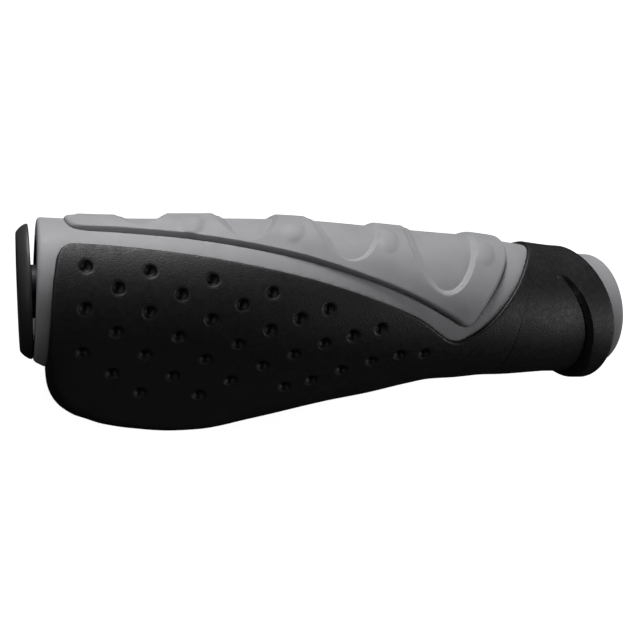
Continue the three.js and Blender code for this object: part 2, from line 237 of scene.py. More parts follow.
def spline(points):
    """A Catmull-Rom curve through points."""
    p = np.array(points, float)
    p = np.concatenate([p[:1], p, p[-1:]])
    t = (np.arange(SPLINE_STEPS) / SPLINE_STEPS)[:, None]
    pieces = []
    for a, b, c, d in zip(p, p[1:], p[2:], p[3:]):
        start = (c - a) / 2
        end = (d - b) / 2
        cube = (2 * b - 2 * c + start + end) * t**3
        pieces.append(cube + (3 * c - 3 * b - 2 * start - end) * t**2 + start * t + b)
    return np.concatenate(pieces + [p[-1:]])


def pad_outline():
    edge = spline(PAD_EDGE)
    seam = spline(SEAM)
    bottom = [(PAD_EDGE[0][0], -FAR), (SEAM[-1][0], -FAR)]
    top = [(SEAM[0][0], FAR), (PAD_EDGE[-1][0], FAR)]
    return np.concatenate([bottom, seam[::-1], top, edge[::-1]])


def collar_outline():
    y = np.linspace(-COLLAR_REACH, COLLAR_REACH, 41)
    rim = np.stack([rim_at(y), y], 1)
    return np.concatenate([rim, spline(SEAM), [(SEAM[-1][0], -COLLAR_REACH)]])


def panel_outline():
    return np.concatenate([spline(PANEL_EDGE), [(PANEL_EDGE[-1][0], FAR), (PANEL_START, FAR)]])


def nearest(line, s, y, closed):
    """Distance from each (s, y) to a line of points, and the direction across its nearest stretch."""
    ends = np.roll(line, -1, 0) if closed else line[1:]
    starts = line if closed else line[:-1]
    best = np.full(len(s), np.inf)
    across = np.zeros((len(s), 2))
    for (s0, y0), (s1, y1) in zip(starts, ends):
        ds, dy = s1 - s0, y1 - y0
        size = math.hypot(ds, dy)
        t = clamp(((s - s0) * ds + (y - y0) * dy) / size**2)
        away = np.hypot(s - s0 - t * ds, y - y0 - t * dy)
        closer = away < best
        best[closer] = away[closer]
        across[closer] = (-dy / size, ds / size)
    return best, across


def inside(outline, s, y):
    """Whether each (s, y) is inside a closed outline, by counting the sides that a ray crosses."""
    odd = np.zeros(len(s), bool)
    for (s0, y0), (s1, y1) in zip(outline, np.roll(outline, -1, 0)):
        if y0 == y1:
            continue
        spans = (y0 > y) != (y1 > y)
        odd ^= spans & (s < s0 + (y - y0) * (s1 - s0) / (y1 - y0))
    return odd


def over_surface(distance, across, angle):
    """Turns a distance in plan into one over the barrel's surface, which is steep in y near its sides."""
    return distance / np.sqrt(across[:, 0] ** 2 + (across[:, 1] * np.sin(angle)) ** 2 + 1e-4)


def edge_field(outline, radius_at):
    """Signed distance over the surface from a plan outline, positive inside."""

    def field(s, angle):
        y = radius_at(s) * np.cos(angle)
        distance, across = nearest(outline, s, y, closed=True)
        side = np.where(inside(outline, s, y), 1.0, -1.0)
        return side * over_surface(distance, across, angle)

    return field


def skin_edge_radius(s):
    """Radius at which the outlines of the two black skins are laid out."""
    return layer_curve(s) + SKIN_EDGE


pad_edge = edge_field(pad_outline(), skin_edge_radius)
collar_edge = edge_field(collar_outline(), skin_edge_radius)
panel_edge = edge_field(panel_outline(), layer_curve)


# ---------------------------------------------------------------- sheets of triangles


class Sheet:
    """Triangles over places (s, angle), with a value of each named field at every vertex."""

    TURN = 1 / 15  # radians round the bar for a millimetre over the surface
    GENTLEST = 0.02  # the least squared slope of a field that a vertex is moved down
    CLOSE = 0.03  # vertices this near a line count as on it

    def __init__(self, stations, angles, fields, wraps=True):
        s, angle = np.meshgrid(stations, angles, indexing="ij")
        rows, columns = s.shape
        self.s, self.angle = s.ravel(), angle.ravel()
        row = np.arange(rows - 1)[:, None]
        column = np.arange(columns if wraps else columns - 1)[None, :]
        after = (column + 1) % columns
        a, b = row * columns + column, (row + 1) * columns + column
        c, d = (row + 1) * columns + after, row * columns + after
        flip = ((row + column) % 2 == 0)[..., None]
        first = np.where(flip, np.stack([a, c, b], 2), np.stack([a, d, b], 2))
        second = np.where(flip, np.stack([a, d, c], 2), np.stack([b, d, c], 2))
        self.triangles = np.concatenate([first.reshape(-1, 3), second.reshape(-1, 3)])
        self.fields = fields
        self.value = {name: field(self.s, self.angle) for name, field in fields.items()}
        self.held = (self.s == stations[0]) | (self.s == stations[-1])
        if not wraps:
            self.held |= (self.angle == angles[0]) | (self.angle == angles[-1])

    def slope(self, name, s, angle):
        """Change of a field for a millimetre along the bar and for a millimetre round it."""
        field, step = self.fields[name], 0.01
        turn = step * self.TURN
        along = (field(s + step, angle) - field(s - step, angle)) / (2 * step)
        around = (field(s, angle + turn) - field(s, angle - turn)) / (2 * step)
        return along, around

    def draw_in(self, name, level, reach):
        """Moves the free vertices nearer than reach onto the line where the field is level."""
        off = self.value[name] - level
        near = ~self.held & (np.abs(off) < reach)
        s, angle, off = self.s[near], self.angle[near], off[near]
        along, around = self.slope(name, s, angle)
        steepness = np.maximum(along**2 + around**2, self.GENTLEST)
        self.s[near] = s - off * along / steepness
        self.angle[near] = angle - off * around / steepness * self.TURN
        for other, field in self.fields.items():
            self.value[other][near] = field(self.s[near], self.angle[near])
        self.value[name][near] = level
        self.held |= near

    def cut(self, name, level, reach=0.15):
        """Splits the triangles along the line where the field is level, so that edges follow it."""
        self.draw_in(name, level, reach)
        on_line = np.abs(self.value[name] - level) < self.CLOSE
        self.value[name][on_line] = level
        off = self.value[name] - level
        corners = self.triangles
        following = np.roll(corners, -1, 1)
        crossed = np.sign(off[corners]) * np.sign(off[following]) < 0
        pairs = np.sort(np.stack([corners[crossed], following[crossed]], 1), 1)
        edges, which = np.unique(pairs, axis=0, return_inverse=True)
        if not len(edges):
            return
        middle = np.full(corners.shape, -1)
        middle[crossed] = which.ravel() + len(self.s)
        self.add_between(edges, name, level)
        count = crossed.sum(1)
        once = self.turned(corners, middle, count == 1, crossed.argmax(1))
        p, q, r, m = once[0], once[1], once[2], once[3]
        parts = [corners[count == 0], np.stack([p, m, r], 1), np.stack([m, q, r], 1)]
        lone = (crossed & np.roll(crossed, 1, 1)).argmax(1)
        p, q, r, m, _, n = self.turned(corners, middle, count == 2, lone)
        parts += [np.stack([p, m, n], 1), np.stack([m, q, r], 1), np.stack([m, r, n], 1)]
        self.triangles = np.concatenate(parts)

    @staticmethod
    def turned(corners, middle, chosen, first):
        """The chosen triangles' corners and edge middles, each turned to start at its corner first."""
        rows = np.flatnonzero(chosen)
        start = first[chosen]
        return [table[rows, (start + k) % 3] for table in (corners, middle) for k in range(3)]

    def add_between(self, edges, name, level):
        """Adds the vertex on each edge where the field is level."""
        a, b = edges.T
        off = self.value[name] - level
        t = off[a] / (off[a] - off[b])
        turn = self.angle[b] - self.angle[a]
        s = self.s[a] + t * (self.s[b] - self.s[a])
        angle = self.angle[a] + t * np.arctan2(np.sin(turn), np.cos(turn))
        for other, field in self.fields.items():
            self.value[other] = np.concatenate([self.value[other], field(s, angle)])
        self.value[name][len(self.s):] = level
        self.s, self.angle = np.concatenate([self.s, s]), np.concatenate([self.angle, angle])
        self.held = np.concatenate([self.held, np.ones(len(s), bool)])

    def keep(self, name):
        """Drops the triangles where a field is negative. The sheet has been cut along its zero."""
        above = self.value[name][self.triangles].mean(1) > 0
        self.triangles = self.triangles[above]
        used, renamed = np.unique(self.triangles, return_inverse=True)
        self.triangles = renamed.reshape(-1, 3)
        self.s, self.angle, self.held = self.s[used], self.angle[used], self.held[used]
        self.value = {other: value[used] for other, value in self.value.items()}


def even_turns(count):
    """Angles for a whole turn round the bar."""
    return np.linspace(0, 2 * math.pi, count, endpoint=False)


WIDEST_AT = 28.0
TOP_SIDE_ENDS = 1.02 * math.pi


def wing_turns(top_step, under_step):
    """Angles round the wing's widest section, with about these steps over its top and its underside."""
    fine = np.linspace(0, 2 * math.pi, 4001)
    points = polar(np.full(len(fine), WIDEST_AT), fine, wing_radius(WIDEST_AT, fine))
    length = np.linalg.norm(np.diff(points, axis=0), axis=1)
    step = np.where(fine[:-1] < TOP_SIDE_ENDS, top_step, under_step)
    place = np.concatenate([[0], np.cumsum(length / step)])
    count = int(place[-1])
    return np.interp(np.arange(count) * place[-1] / count, place, fine)


def stretch(*parts):
    """Stations from (start, end, step) stretches one after another, ending at the last end."""
    runs = [np.linspace(a, b, round((b - a) / step), endpoint=False) for a, b, step in parts]
    return np.concatenate(runs + [[parts[-1][1]]])


# ---------------------------------------------------------------- meshes


def make_object(name, points, faces):
    """A smooth-shaded mesh object from points in millimetres, with its sharp edges kept sharp."""
    mesh = bpy.data.meshes.new(name)
    mesh.from_pydata(np.asarray(points, float) * MM, [], [tuple(f) for f in faces])
    mesh.validate()
    mesh.shade_smooth()
    mesh.set_sharp_from_angle(angle=CREASE)
    made = bpy.data.objects.new(name, mesh)
    bpy.context.scene.collection.objects.link(made)
    return made


def shell(name, sheet, outer, inner):
    """A closed body between two layers of points over the same sheet, walled along its open edges."""
    count = len(sheet.s)
    outside = sheet.triangles
    lining = outside[:, ::-1] + count
    edges = np.concatenate([outside[:, [0, 1]], outside[:, [1, 2]], outside[:, [2, 0]]])
    code = edges[:, 0] * count + edges[:, 1]
    back = edges[:, 1] * count + edges[:, 0]
    a, b = edges[~np.isin(code, back)].T
    walls = np.stack([b, a, a + count, b + count], 1)
    faces = outside.tolist() + lining.tolist() + walls.tolist()
    return make_object(name, np.concatenate([outer, inner]), faces)


LATHE_STEPS = 128


def lathe(name, profile):
    """A body turned round the bar's axis from a profile of (s, radius), which ends on the axis or closes."""
    profile = np.array(profile, float)
    steps = LATHE_STEPS
    s = np.repeat(profile[:, 0], steps)
    radius = np.repeat(profile[:, 1], steps)
    points = polar(s, np.tile(even_turns(steps), len(profile)), radius)
    on_axis = profile[0, 1] == 0
    rows = len(profile) - 1 if on_axis else len(profile)
    faces = []
    for i in range(rows):
        below = (i + 1) % len(profile)
        for j in range(steps):
            k = (j + 1) % steps
            faces.append((i * steps + j, i * steps + k, below * steps + k, below * steps + j))
    made = make_object(name, points, faces)
    if on_axis:
        weld(made)
    return made


def weld(made):
    """Joins vertices that lie together, such as the points of a lathe on its axis."""
    modifier = made.modifiers.new("weld", "WELD")
    modifier.merge_threshold = 0.001 * MM
    bake_modifiers(made)


def bake_modifiers(made):
    """Replaces an object's mesh by what its modifiers make of it."""
    graph = bpy.context.evaluated_depsgraph_get()
    graph.update()
    mesh = bpy.data.meshes.new_from_object(made.evaluated_get(graph), depsgraph=graph)
    made.modifiers.clear()
    old = made.data
    made.data = mesh
    bpy.data.meshes.remove(old)


def combine(made, *others, operation):
    """Adds or cuts whole bodies, and removes the ones used."""
    for other in others:
        modifier = made.modifiers.new("combine", "BOOLEAN")
        modifier.operation = operation
        modifier.solver = "MANIFOLD"
        modifier.object = other
    bake_modifiers(made)
    for other in others:
        bpy.data.objects.remove(other)


def crease(made, angle=CREASE):
    """Shades a finished mesh smooth up to its creases."""
    made.data.shade_smooth()
    made.data.set_sharp_from_angle(angle=angle)


# ---------------------------------------------------------------- pieces


# Where rows of vertices follow the lips, in millimetres from the edge, and the valleys' sides
PAD_ROWS = (0.06, 0.2, 0.42)
COLLAR_ROWS = (0.06, 0.2, 0.5)
PANEL_ROWS = (0.06, 0.15, 0.3, 0.55, 0.9)
VALLEY_ROWS = (0.0, 0.22, 0.5, 0.78, 1.0)
DENT_SHARES = (1, 0.9, 0.7, 0.4)  # of a dent's radius


def lip_drop(edge, size):
    """How far a rounded lip falls below the surface at this distance from its edge."""
    return size * (1 - quarter_round(edge / size))


SEAM_LIP_FRONT = 0.01
SEAM_LIP_REAR = 0.14


def seam_lip(s, angle, elsewhere):
    """Size of the lip: small along the seam between the pad and the collar, and smallest at its front."""
    y = skin_radius(s) * np.cos(angle)
    distance, _ = nearest(spline(SEAM), s, y, closed=False)
    at_seam = SEAM_LIP_FRONT + (SEAM_LIP_REAR - SEAM_LIP_FRONT) * smoothstep(-y, 0, 6)
    return at_seam + (elsewhere - at_seam) * smoothstep(distance, 0.5, 1.6)


LIP_STEP = 0.02  # length of the step in the bore at each lip
POCKET_ROUNDING = 0.1
POCKET_EDGE_DROP = 0.04
POCKET_WALL = 0.07  # width of the pockets' steep walls


def base_layer():
    """The grey layer: a barrel with shallow pockets for the pad, the collar and the finger panel."""

    def pockets(s, angle):
        skins = np.maximum(pad_edge(s, angle), collar_edge(s, angle)) + SEAM_GAP
        return np.maximum(skins, panel_edge(s, angle))

    corner = 1 - np.cos(np.linspace(0, math.pi / 2, 7)[:-1])
    barrel = stretch(
        (OUTER_ROUNDING, LIP, 0.55),
        (LIP + LIP_STEP, LENGTH - LIP - LIP_STEP, 0.8),
        (LENGTH - LIP, LENGTH - INNER_ROUNDING, 0.5),
    )
    stations = np.concatenate([OUTER_ROUNDING * corner, barrel, LENGTH - INNER_ROUNDING * corner[::-1]])
    sheet = Sheet(stations, even_turns(132), {"pocket": pockets})
    for level in (-POCKET_ROUNDING, 0.0, POCKET_WALL):
        sheet.cut("pocket", level, reach=0.2 if level == 0 else 0.0)
    pocket = sheet.value["pocket"]
    edge_round = POCKET_EDGE_DROP * clamp(1 + pocket / POCKET_ROUNDING) ** 2
    deep = clamp(pocket / POCKET_WALL)
    taper = REAR_TAPER * rearward(sheet.angle) * clamp(1 - sheet.s / LIP)
    radius = layer_radius(sheet.s) - edge_round - taper
    radius = radius + (pocket_radius(sheet.s) - radius) * deep
    bore = np.where((sheet.s > LIP) & (sheet.s < LENGTH - LIP), SLEEVE_RADIUS + SEAM_GAP, BORE_RADIUS)
    slant = end_slant(sheet.s)
    outer = polar(sheet.s, sheet.angle, radius, slant)
    inner = polar(sheet.s, sheet.angle, bore, slant)
    return shell("grey_layer", sheet, outer, inner)


def pad_point(s, y):
    """The point of the pad's upper surface over (s, y), found by halving the angle's range."""
    low, high = np.zeros(len(s)), np.full(len(s), math.pi)
    for _ in range(30):
        middle = (low + high) / 2
        beyond = wing_radius(s, middle) * np.cos(middle) > y
        low, high = np.where(beyond, middle, low), np.where(beyond, high, middle)
    return polar(s, low, wing_radius(s, low))


# The dents, in rows of (s, y) places that bend back, a row's first dent counted in pitches from the origin.
DENT_PITCH = 11.8
DENT_ORIGIN = 8.6
DENT_ROWS = [
    {"y": 5, "bend": 0.003, "first": 0, "count": 6},
    {"y": 1.2, "bend": 0.0029, "first": 0.5, "count": 5},
    {"y": -2.9, "bend": 0.0026, "first": 0, "count": 5},
    {"y": -7.1, "bend": 0.0023, "first": 0.5, "count": 4},
    {"y": -11.3, "bend": 0.0018, "first": 0, "count": 4},
    {"y": -15.4, "bend": 0.0016, "first": 0.5, "count": 4},
    {"y": -19.4, "bend": 0.001, "first": 1, "count": 2},
]
DENTS_END = 84
PAD_END = 114
DENT_TAIL = [(55.4, -16.7), (61.4, -14.4), (67.5, -12.4), (73.5, -11), (79.2, -10.7)]
DENT_RADIUS = 1.3
DENT_DEPTH = 1.25
DENT_RIM = 0.28
DENT_RIM_DROP = 0.14


def dent_centres():
    """Middles of the dents on the pad's surface. The rows bend back towards the inner end."""
    places = list(DENT_TAIL)
    for row in DENT_ROWS:
        for i in range(row["count"]):
            s = DENT_ORIGIN + DENT_PITCH * (row["first"] + i)
            places.append((s, row["y"] - row["bend"] * (s - DENT_ORIGIN) ** 2))
    s, y = np.array(places, float).T
    return pad_point(s, y)


def dent_field(centres):
    """Distance in space from the nearest dent's middle."""

    def field(s, angle):
        points = polar(s, angle, wing_radius(s, angle))
        best = np.full(len(s), np.inf)
        for centre in centres:
            best = np.minimum(best, np.linalg.norm(points - centre, axis=1))
        return best

    return field


def wing_normal(s, angle):
    """Outward direction of the wing's surface."""
    step = 0.05
    turn = step * Sheet.TURN

    def at(ds, da):
        return polar(s + ds, angle + da, wing_radius(s + ds, angle + da))

    along = at(step, 0) - at(-step, 0)
    around = at(0, turn) - at(0, -turn)
    normal = np.cross(around, along)
    return normal / np.maximum(np.linalg.norm(normal, axis=1), TINY)[:, None]


def dent_depth(distance):
    """Depth of a round dent with a softly rounded rim."""
    bowl = DENT_DEPTH * np.sqrt(np.maximum(1 - (distance / DENT_RADIUS) ** 2, 0))
    rim = DENT_RIM_DROP * clamp((DENT_RADIUS + DENT_RIM - distance) / DENT_RIM) ** 2
    return np.maximum(bowl, rim)


def palm_pad():
    """The black pad: a rounded lip round its edge, dents over its upper side, and its wing."""
    corner = PAD_START + WING_CORNER * (1 - np.cos(np.linspace(0, math.pi / 2, 26)))
    straight = stretch((corner[-1], DENTS_END, FINE_STEP), (DENTS_END, PAD_END, 0.7))
    stations = np.concatenate([[PAD_START - 0.4], corner[:-1], straight])
    fields = {"edge": pad_edge, "dent": dent_field(dent_centres())}
    sheet = Sheet(stations, wing_turns(FINE_STEP, 0.95), fields)
    sheet.cut("edge", 0.0, reach=0.15)
    sheet.keep("edge")
    for level in PAD_ROWS:
        sheet.cut("edge", level, reach=0.05)
    for level in [share * DENT_RADIUS for share in DENT_SHARES] + [DENT_RADIUS + DENT_RIM]:
        sheet.cut("dent", level, reach=0.1)
    s, angle, edge = sheet.s, sheet.angle, sheet.value["edge"]
    skin = polar(s, angle, wing_radius(s, angle) - lip_drop(edge, seam_lip(s, angle, PAD_LIP)))
    outer = skin - wing_normal(s, angle) * dent_depth(sheet.value["dent"])[:, None]
    inner = polar(s, angle, pocket_radius(s) + SEAM_GAP)
    return shell("palm_pad_skin", sheet, outer, inner)


GROOVE_HALF = 0.8
GROOVE_DEPTH = 1.0
GROOVE_SHAPE = 0.7  # 1 for a parabola across the groove, and less for a rounder bottom


def groove_field():
    """Distance over the surface from the groove's middle line, growing past its front end."""
    line = spline(GROOVE)

    def field(s, angle):
        y = skin_radius(s) * np.cos(angle)
        distance, across = nearest(line, s, y, closed=False)
        return over_surface(distance, across, angle)

    return field


def inner_collar():
    """The black collar: a lip at each edge, a curved groove and a flange beyond it, highest at the rear."""
    fields = {"edge": collar_edge, "groove": groove_field()}
    sheet = Sheet(stretch((98, 133.5, 0.45)), even_turns(200), fields)
    sheet.cut("edge", 0.0)
    sheet.keep("edge")
    for level in COLLAR_ROWS:
        sheet.cut("edge", level, reach=0.05)
    for level in (GROOVE_HALF, 0.25):
        sheet.cut("groove", level, reach=0.1)
    s, angle, edge = sheet.s, sheet.angle, sheet.value["edge"]
    back = -skin_radius(s) * np.cos(angle)
    groove_s, groove_y = np.array(GROOVE).T
    beyond = s - np.interp(back, -groove_y, groove_s)
    # The flange rises just past the groove, over a longer way at the rear and the longest at the front.
    rise_end = 1 + 2 * smoothstep(back, 8, 15) + 6 * smoothstep(-back, 3, 7)
    risen = smoothstep(beyond, -0.5, rise_end)
    swell = REAR_SWELL * smoothstep(s, *REAR_SWELL_OVER) + (FLANGE_RISE - REAR_SWELL) * risen
    # The groove is half as deep at its front end.
    started = smoothstep(back, -8.2, -4.5)
    across = clamp(1 - (sheet.value["groove"] / GROOVE_HALF) ** 2) ** GROOVE_SHAPE
    groove = GROOVE_DEPTH * (0.5 + 0.5 * started) * across
    lip = lip_drop(edge, seam_lip(s, angle, COLLAR_LIP))
    radius = skin_radius(s) + rearward(angle) * swell - groove - lip
    outer = polar(s, angle, radius)
    inner = polar(s, angle, bed_radius(s))
    return shell("inner_collar_skin", sheet, outer, inner)


def bed_radius(s):
    """Inner radius of the black skins: their pocket in the grey layer, and the layer itself past its end."""
    return pocket_radius(np.minimum(s, LENGTH)) + SEAM_GAP


# Each valley's widest place and its rounded tip on the pad's side, as (s, degrees round the bar). Its middle
# line runs straight between them for a bend of 1, and turns off near the tip for a bend of 2.
VALLEYS = [
    {"widest": (20.4, 0), "tip": (19.3, 33), "half": 5.6, "bend": 1},
    {"widest": (41.9, 5), "tip": (39.8, 50.5), "half": 7.1, "bend": 1},
    {"widest": (62.9, 10), "tip": (60.9, 64), "half": 8.4, "bend": 1},
    {"widest": (84.6, 25), "tip": (82.2, 84), "half": 8.8, "bend": 2},
]
VALLEY_WALL = 1.1
VALLEY_SLOPE = 2.6
FRONT_EASE = 0.12  # radians over which the upper and lower halves of a valley run into each other
NUBS = [
    {"s": 29.5, "angle": 30},
    {"s": 49.9, "angle": 37},
    {"s": 70.6, "angle": 41},
    {"s": 93.4, "angle": 46},
]
NUB_LENGTH = 8.4
NUB_WIDTH = 4.4
NUB_HEIGHT = 0.42
NUB_SHAPE = 0.65  # 0.5 for half an ellipsoid
NUB_LEAN = math.radians(-18)

# How far the panel stands out from the grey layer, the same at its edge and on the valleys' floors, its
# edge's rounding, and the width of the slot round it.
panel_rise = curve_through([
    (5, 0.8), (8, 1.1), (14, 1.15), (26, 1.5), (84, 1.5), (92, 1.4), (103, 1.4),
])
valley_floor = curve_through([(19, 0.4), (41, 0.4), (62, 0.65), (84, 0.65)])
edge_rise = curve_through([
    (5, 0.7), (8, 0.85), (38, 0.9), (62, 1.05), (84, 1.2), (92, 1.2), (103, 1.2),
])
panel_rounding = curve_through([
    (5, 0.9), (10, 0.3), (50, 0.3), (62, 0.4), (75, 0.5), (87, 1.0), (103, 0.7),
])
EDGE_CROWN = 6  # how far in from its edge the panel reaches its full height
panel_slot = curve_through([(5, 0.2), (16, 0.6), (80, 0.5), (88, 0.3), (103, 0.12)])


def panel_inset(s, angle):
    """Distance over the surface from the panel's foot. A narrow slot parts it from its pocket's wall."""
    return panel_edge(s, angle) - panel_slot(s)


def panel_radius(s):
    return layer_curve(s) + panel_rise(s)


def valley_field(s, angle):
    """How far down a valley's side each place is: 0 at its oval edge, 1 and more on its floor.

    The side towards the outer end slopes gently, and the others are steep.
    """
    turn = np.hypot(angle, FRONT_EASE)
    best = np.full(len(s), -np.inf)
    for valley in VALLEYS:
        middle, start = valley["widest"]
        tip, end = valley["tip"]
        tall = panel_radius(s) * math.radians(end - start)
        v = (turn - math.radians(start)) / math.radians(end - start)
        # The middle line moves from the widest place to the tip as v goes from 0 to 1, leaning on its way.
        left = np.maximum(1 - v, 0)
        lean = (middle - tip) * valley["bend"] * left ** (valley["bend"] - 1) / tall
        u = (s - tip - (middle - tip) * left ** valley["bend"]) / valley["half"]
        size = np.maximum(np.hypot(u, v), TINY)
        # How fast size grows for a millimetre along the bar, and across the oval's edge
        along = u / size / valley["half"]
        across = np.hypot(along, lean * along + v / size / tall)
        width = VALLEY_WALL + (VALLEY_SLOPE - VALLEY_WALL) * clamp(-along / across) ** 2
        best = np.maximum(best, (1 - size) / across / width)
    return best


def nub_height(s, angle):
    """Long low bumps on the crests between the valleys, laid round the barrel, above and below alike."""
    height = np.zeros(len(s))
    for nub in NUBS:
        around = (np.abs(angle) - math.radians(nub["angle"])) * panel_radius(s)
        along = s - nub["s"]
        u = (along * math.cos(NUB_LEAN) - around * math.sin(NUB_LEAN)) / (NUB_WIDTH / 2)
        v = (along * math.sin(NUB_LEAN) + around * math.cos(NUB_LEAN)) / (NUB_LENGTH / 2)
        height = np.maximum(height, NUB_HEIGHT * clamp(1 - u * u - v * v) ** NUB_SHAPE)
    return height


PANEL_REACH = math.radians(116)  # how far round the bar, up and down, the panel's sheet goes


def finger_panel():
    """The raised grey panel: sloping sides, round-bottomed valleys that open forward, and low nubs."""
    fields = {"edge": panel_inset, "valley": valley_field}
    angles = np.linspace(-PANEL_REACH, PANEL_REACH, 144)
    sheet = Sheet(stretch((4, 102, FINE_STEP)), angles, fields, wraps=False)
    sheet.cut("edge", 0.0)
    sheet.keep("edge")
    for level in PANEL_ROWS:
        sheet.cut("edge", level, reach=0.04)
    for level in VALLEY_ROWS:
        sheet.cut("valley", level, reach=0.06)
    s, angle, edge = sheet.s, sheet.angle, sheet.value["edge"]
    crown = (panel_rise(s) - edge_rise(s)) * smoothstep(edge, 0, EDGE_CROWN)
    side = edge_rise(s) * quarter_round(edge / panel_rounding(s)) + crown
    valley = sheet.value["valley"]
    down = (smoothstep(valley, 0, 0.45) + smoothstep(valley, 0.55, 1)) / 2
    hollowed = panel_rise(s) + (valley_floor(s) - panel_rise(s)) * down
    height = np.minimum(side, hollowed) + nub_height(s, angle)
    outer = polar(s, angle, layer_curve(s) + height)
    inner = polar(s, angle, bed_radius(s))
    return shell("finger_panel_skin", sheet, outer, inner)


# The wing's plate
PLATE_TOP = -0.8
PLATE_THICKNESS = 2
PLATE_INSET = 6
PLATE_FROM = 9
PLATE_TO = 68
PLATE_ROOT = 0.6  # how far inside the sleeve's wall the plate starts
KEY_HOLES = (20, 34, 48)
KEY_RADIUS = 2.6
HOLE_INSET = 4
CUTTER_REACH = 9


def prism(name, outline, low, high):
    """An upright block over an anticlockwise plan outline of (s, y) points."""
    outline = np.asarray(outline, float)
    count = len(outline)
    ground = np.column_stack([outline[:, 0] - LENGTH, outline[:, 1], np.full(count, low)])
    top = ground + (0, 0, high - low)
    ring = range(count)
    sides = [(i, (i + 1) % count, (i + 1) % count + count, i + count) for i in ring]
    caps = [tuple(reversed(ring)), tuple(i + count for i in ring)]
    return make_object(name, np.concatenate([ground, top]), sides + caps)


def circle(centre, radius):
    """A plan outline round a centre (s, y)."""
    turn = even_turns(48)
    return np.column_stack([centre[0] + radius * np.cos(turn), centre[1] + radius * np.sin(turn)])


def plate(clearance):
    """The plate that carries the wing, 6 mm inside the wing's edge, with holes that key the rubber."""
    s = np.linspace(PLATE_FROM - clearance, PLATE_TO + clearance, 60)
    edge = np.column_stack([s, PLATE_INSET - clearance - wing_plan(s)])
    root = -BORE_RADIUS - PLATE_ROOT
    outline = np.concatenate([edge, [(s[-1], root), (s[0], root)]])
    made = prism("plate", outline, PLATE_TOP - PLATE_THICKNESS - clearance, PLATE_TOP + clearance)
    holes = []
    for at in KEY_HOLES:
        middle = (at, HOLE_INSET + PLATE_INSET - wing_plan(at))
        holes.append(prism("hole", circle(middle, KEY_RADIUS - clearance), -CUTTER_REACH, CUTTER_REACH))
    combine(made, *holes, operation="DIFFERENCE")
    return made


SLEEVE_BEVEL = 0.25


def core_sleeve():
    """The stiff sleeve that goes over the bar, with the wing's plate."""
    bevel = SLEEVE_BEVEL
    profile = [
        (LIP, BORE_RADIUS + bevel), (LIP, SLEEVE_RADIUS - bevel), (LIP + bevel, SLEEVE_RADIUS),
        (LENGTH - LIP - bevel, SLEEVE_RADIUS), (LENGTH - LIP, SLEEVE_RADIUS - bevel),
        (LENGTH - LIP, BORE_RADIUS + bevel), (LENGTH - LIP - bevel, BORE_RADIUS), (LIP + bevel, BORE_RADIUS),
    ]
    made = lathe("stiff_sleeve", profile)
    combine(made, plate(0.0), operation="UNION")
    bore = lathe("bore", [(-1, 0), (-1, BORE_RADIUS), (LENGTH + 1, BORE_RADIUS), (LENGTH + 1, 0)])
    combine(made, bore, operation="DIFFERENCE")
    crease(made)
    return made


CORE_RADIUS = 5.0  # of the raw body's inside, which the hub then cuts away
CUSHION_VOXEL = 0.5


def cushion_body(clearance):
    """The soft filling over the wing's plate, a skin's thickness under the pad's surface."""
    stations = np.linspace(CUSHION_FROM - clearance, CUSHION_TO + clearance, 90)
    sheet = Sheet(stations, wing_turns(0.8, 1.2), {})
    wall = PAD_SKIN - clearance
    outer = polar(sheet.s, sheet.angle, wing_radius(sheet.s, sheet.angle, wall))
    made = shell("wing_cushion", sheet, outer, polar(sheet.s, sheet.angle, CORE_RADIUS))
    hub = [(s, float(pocket_radius(s)) + wall) for s in np.linspace(-1, LENGTH + 1, 100)]
    combine(made, lathe("hub", [(-1, 0)] + hub + [(LENGTH + 1, 0)]), operation="DIFFERENCE")
    rear_half = [(0, -FAR), (LENGTH, -FAR), (LENGTH, 0), (0, 0)]
    above = prism("above", rear_half, CUSHION_FLOOR - 2 * clearance, FAR)
    combine(made, above, operation="INTERSECT")
    return made


def palm_cushion():
    """The cushion with its edges softened."""
    made = cushion_body(-PART_GAP)
    remesh = made.modifiers.new("even", "REMESH")
    remesh.mode = "VOXEL"
    remesh.voxel_size = CUSHION_VOXEL * MM
    soften = made.modifiers.new("soften", "SMOOTH")
    soften.factor = 0.5
    soften.iterations = 6
    bake_modifiers(made)
    crease(made, math.pi)
    return made


# The plug
FLANGE_RADIUS = 13.35
FLANGE_THICKNESS = 2.3
BEVEL_WIDTH = 1.8
BEVEL_DEPTH = 2.0
BEVEL_BOW = 0.75  # 1 for a quarter ellipse, and less for a straighter bevel
DISH_RADIUS = 8.6
DISH_DEPTH = 0.25
RIM_ROUNDING = 0.25
ROOT_FILLET = 0.5
STEM_RADIUS = 5.3
STEM_LENGTH = 20
STEM_ROUNDING = 1
FIN_RADIUS = 9
FIN_THICKNESS = 1
FIN_TIP = 0.3
FIN_DEPTHS = (7, 11, 15)
PLUG_TILT = math.radians(3.4)
PLUG_GAP = 0.05


def arc(centre, radius, start, end, steps):
    """Points (s, radius) on an arc in a lathe's profile, angles in degrees from +s."""
    turn = np.radians(np.linspace(start, end, steps + 1))
    return [(centre[0] + radius * math.cos(t), centre[1] + radius * math.sin(t)) for t in turn]


